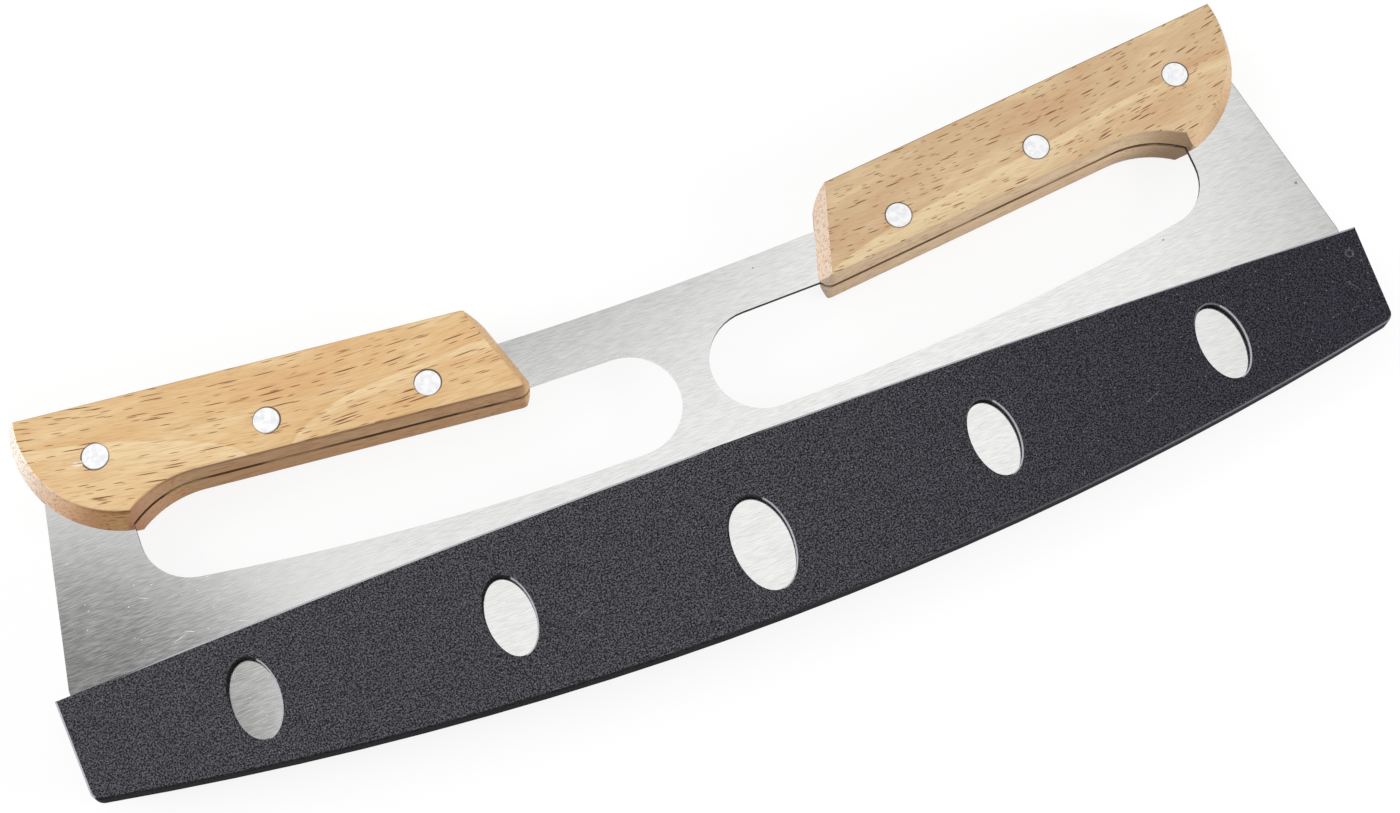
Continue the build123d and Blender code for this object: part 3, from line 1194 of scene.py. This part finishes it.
def dress(names, material):
    """Puts one material in the slots of CAD nodes."""
    for name in names:
        for slot in nodes[name].material_slots:
            slot.material = material


left_wood = oiled_rubberwood(
    "oiled_rubberwood_left",
    -1,
    tongue=(-0.5, -18.4, 6.5),
    pale="#e7cda0",
    golden="#ddb987",
    blush="#d5a772",
    # The end and wall colours hold painted light and shade
    end_grain_and_shade=("#fffaf0", "#e1b38b", "#a2613c", "#e4bb86"),
    wall_light_and_shade=("#b06f2c", 0.6, 0.95),
    seam_darkness=0.9,
    top_edge_shade=0.35,
    chips=((49.1, 1.0),),
    dash_length=1.0,
)
right_wood = oiled_rubberwood(
    "oiled_rubberwood_right",
    1,
    tongue=(-78.0, -19.5, 3.4),
    pale="#dcc69e",
    golden="#c9ae8a",
    blush="#bf9871",
    # The end and wall colours hold painted light and shade
    end_grain_and_shade=("#d0bd9b", "#c8a67d", "#967a5c", "#e6d0bc"),
    wall_light_and_shade=("#f2cda8", 0.34, 0.25),
    seam_darkness=0.7,
    top_edge_shade=0.8,
    chips=(),
    dash_length=0.6,
)
for side_name, wood in (("left", left_wood), ("right", right_wood)):
    dress([f"{side_name}_rear_scale", f"{side_name}_front_scale"], wood)
dress([name for name in nodes if "rivet" in name], ground_aluminium())
dress(["blade"], brushed_steel())
dress(["blade_guard"], moulded_polypropylene())


def flat_sheet(name, size, height):
    """A square sheet: its four corners are plus and minus half its size, at one height."""
    half = size / 2
    corners = np.array([(-half, -half), (half, -half), (half, half), (-half, half)])
    mesh = bpy.data.meshes.new(name)
    mesh.from_pydata(np.column_stack([corners, np.full(4, height)]).tolist(), [], [(0, 1, 2, 3)])
    piece = bpy.data.objects.new(name, mesh)
    bpy.context.scene.collection.objects.link(piece)
    return piece


def white_floor():
    """Matt card. Seen directly, or mirrored, it is nearly plain white, with the knife's shadow on it.

    As a surface that throws light back it is a mid grey, so that little light comes up from below.
    """
    material, tree, surface = new_material("white_card")
    surface["Roughness"].default_value = 0.9
    path = add(tree, "ShaderNodeLightPath")
    seen = add(
        tree,
        "ShaderNodeMath",
        {0: path.outputs["Is Camera Ray"], 1: path.outputs["Is Glossy Ray"]},
        operation="MAXIMUM",
    )
    seen = add(
        tree,
        "ShaderNodeMath",
        {0: seen, 1: path.outputs["Is Transmission Ray"]},
        operation="MAXIMUM",
    )
    card = add(
        tree,
        "ShaderNodeMix",
        {"Factor": seen, "A": linear("#a4a4a4"), "B": linear("#fcfcfc")},
        data_type="RGBA",
    )
    plug(tree, card, surface["Base Color"])
    glow = add(tree, "ShaderNodeEmission", {"Color": (1, 1, 1, 1), "Strength": 1.0})
    # The share of its white that doesn't depend on the light
    own_light = 0.85
    share = add(tree, "ShaderNodeMath", {0: seen, 1: own_light}, operation="MULTIPLY")
    shader = tree.nodes["Principled BSDF"]
    mix = add(tree, "ShaderNodeMixShader", {0: share, 1: shader, 2: glow})
    plug(tree, mix, tree.nodes["Material Output"].inputs["Surface"])
    return material


# The card is square and lies a little under the knife
card_size = 8.0
card_drop = 0.0002
floor = flat_sheet("floor", card_size, -card_drop)
floor.data.materials.append(white_floor())


def studio_sky():
    """A soft pale room whose gaps and dimmer sides show in the steel. Seen directly it is white."""
    world = bpy.data.worlds.new("studio")
    world.use_nodes = True
    tree = world.node_tree
    direction = add(tree, "ShaderNodeTexCoord").outputs["Generated"]
    parts = add(tree, "ShaderNodeSeparateXYZ", {"Vector": direction}).outputs
    level = 1.05
    # Two gaps in the light: where each is, its inner and outer reach and what is left in it
    for middle, inner, outer, left in (
        ((-0.156, 0.247, 0.956), 0.064, 0.116, 0.17),
        ((0.037, 0.533, 0.845), 0.136, 0.282, 0.25),
    ):
        away = add(tree, "ShaderNodeVectorMath", {0: direction, 1: middle}, operation="DISTANCE")
        share = add(
            tree,
            "ShaderNodeMapRange",
            {
                "Value": away,
                "From Min": inner,
                "From Max": outer,
                "To Min": left,
                "To Max": 1.0,
            },
            interpolation_type="SMOOTHSTEP",
        )
        level = add(tree, "ShaderNodeMath", {0: level, 1: share}, operation="MULTIPLY")
    # Dimmer to the right, low down and in front: along each axis from where to where, and how dim
    for part, low, high, dim in (
        ("X", 0.44, 0.3, 0.39),
        ("Z", 0.0, 0.6, 0.6),
        ("Y", -0.7, 0.1, 0.5),
    ):
        share = add(
            tree,
            "ShaderNodeMapRange",
            {"Value": parts[part], "From Min": low, "From Max": high, "To Min": dim, "To Max": 1.0},
            interpolation_type="SMOOTHSTEP",
        )
        level = add(tree, "ShaderNodeMath", {0: level, 1: share}, operation="MULTIPLY")
    path = add(tree, "ShaderNodeLightPath").outputs["Is Camera Ray"]
    strength = add(tree, "ShaderNodeMix", {"Factor": path, "A": level, "B": 1.0}, data_type="FLOAT")
    background = tree.nodes["Background"].inputs
    background["Color"].default_value = (1, 1, 1, 1)
    plug(tree, strength, background["Strength"])
    return world


bpy.context.scene.world = studio_sky()


def softbox(name, place, aim, size, power, mirrored=True):
    """A square lamp of soft light at a place, turned to a point, mirrored in steel or not."""
    lamp = bpy.data.lights.new(name, "AREA")
    lamp.shape = "SQUARE"
    lamp.size = size
    lamp.energy = power
    holder = bpy.data.objects.new(name, lamp)
    holder.location = place
    holder.visible_glossy = mirrored
    holder.rotation_euler = (Vector(place) - Vector(aim)).to_track_quat("Z", "Y").to_euler()
    bpy.context.scene.collection.objects.link(holder)


softbox("lamp_left", (-1.0, 0.25, 0.45), (0, 0, 0), 0.4, 4.0)
softbox("lamp_back", (-0.5, 0.95, 0.9), (0, 0, 0), 0.8, 3.5, mirrored=False)
softbox("lamp_front_right", (0.7, -0.4, 0.3), (0.1, 0, 0), 0.4, 5.0, mirrored=False)


def photographs_camera():
    """The camera of the photograph: turned about its aim by azimuth and elevation, then rolled."""
    azimuth, elevation, roll = (radians(a) for a in (camera_azimuth, camera_elevation, camera_roll))
    back = Vector(
        (sin(azimuth) * cos(elevation), -cos(azimuth) * cos(elevation), sin(elevation))
    )
    right = Vector((0, 1, 0)).cross(back).normalized()
    up = back.cross(right)
    across = right * cos(roll) + up * sin(roll)
    upright = up * cos(roll) - right * sin(roll)
    data = bpy.data.cameras.new("camera")
    data.sensor_width = 36
    data.lens = data.sensor_width * focal_pixels / photo_width
    data.clip_start = 0.01
    camera = bpy.data.objects.new("camera", data)
    aim = Vector((aim_along, edge_height + aim_above_edge, plate_height))
    camera.matrix_world = Matrix.Translation(aim + back * camera_distance) @ Matrix(
        (across, upright, back)
    ).transposed().to_4x4()
    bpy.context.scene.collection.objects.link(camera)
    return camera


bpy.context.scene.camera = photographs_camera()
bpy.context.scene.view_settings.view_transform = "Standard"
